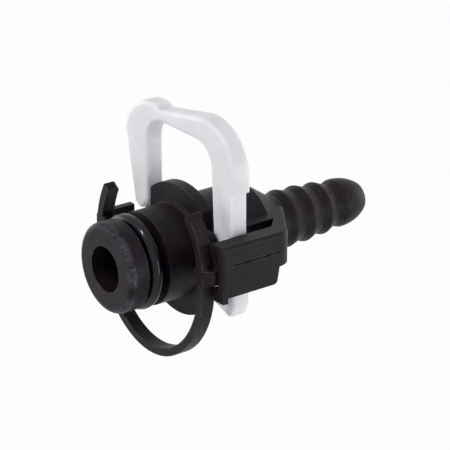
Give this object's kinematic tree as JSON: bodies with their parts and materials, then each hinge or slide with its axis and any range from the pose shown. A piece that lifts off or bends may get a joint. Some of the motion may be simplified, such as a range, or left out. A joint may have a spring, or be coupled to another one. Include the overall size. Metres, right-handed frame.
{
  "type": "quick disconnect coupling",
  "caption": "Plastic quick disconnect coupling insert: sealed spigot, lug flange, retaining ring, barbed hose tail and a U-shaped slide clip that locks the joint.",
  "frame": {"origin": "centre of the flow bore at the spigot's front face", "axes": "+X along the tube axis from the spigot to the hose barb, +Z the way the clip lifts to release, housing on the -Y side"},
  "size_m": [0.0606, 0.0391, 0.048],
  "materials": {
    "black_nylon": "satin moulded",
    "natural_acetal": "smooth, slightly translucent",
    "black_rubber": "glossy, lubricated"
  },
  "bodies": {
    "body": {"coupling_body": "black_nylon", "o_ring": "black_rubber", "retaining_ring": "black_nylon"},
    "clip": {"locking_clip": "natural_acetal"}
  },
  "joints": [
    {"name": "clip_slide", "type": "slide", "parent": "body", "child": "clip", "axis": [0, 0, 1], "range_m": [-0.00825, 0]}
  ]
}
